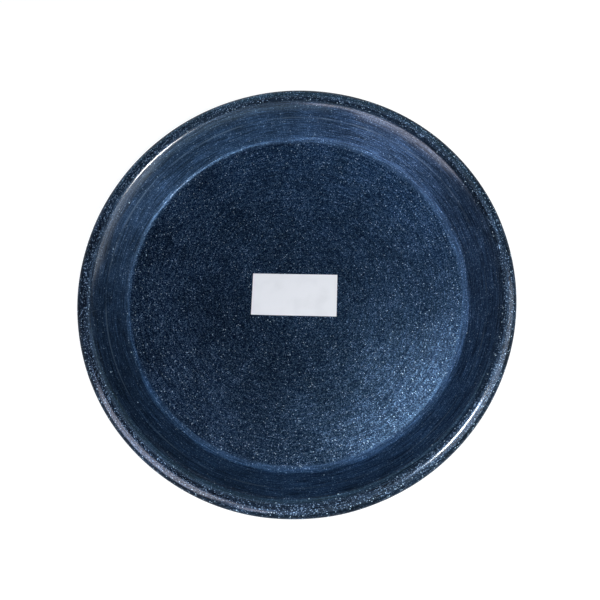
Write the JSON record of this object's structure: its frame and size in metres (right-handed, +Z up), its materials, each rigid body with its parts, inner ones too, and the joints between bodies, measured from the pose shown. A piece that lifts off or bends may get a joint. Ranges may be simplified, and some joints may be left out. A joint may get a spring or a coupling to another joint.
{
  "type": "pooja plate",
  "caption": "Round shallow metal plate for offerings, with a sloping wall, a rolled rim, a dark blue glitter coat inside and a small blank paper sticker on its base.",
  "frame": {"origin": "on the surface that the plate stands on, under the centre of its base", "axes": "+Z up along the plate's axis, +X along the long side of the sticker, to the right in the picture"},
  "size_m": [0.25, 0.25, 0.023],
  "materials": {
    "painted_sheet": "plain dark blue ground coat, semi-gloss",
    "glitter_lacquer": "dark blue lacquer with fine silver-blue glitter, brushed on in rings, satin gloss",
    "adhesive": "clear-cream pressure-sensitive glue",
    "paper": "plain white sticker paper, uncoated"
  },
  "bodies": {
    "root": {"plate_body": "painted_sheet", "glitter_coat": "glitter_lacquer", "sticker_adhesive": "adhesive", "sticker_paper": "paper"}
  },
  "joints": []
}
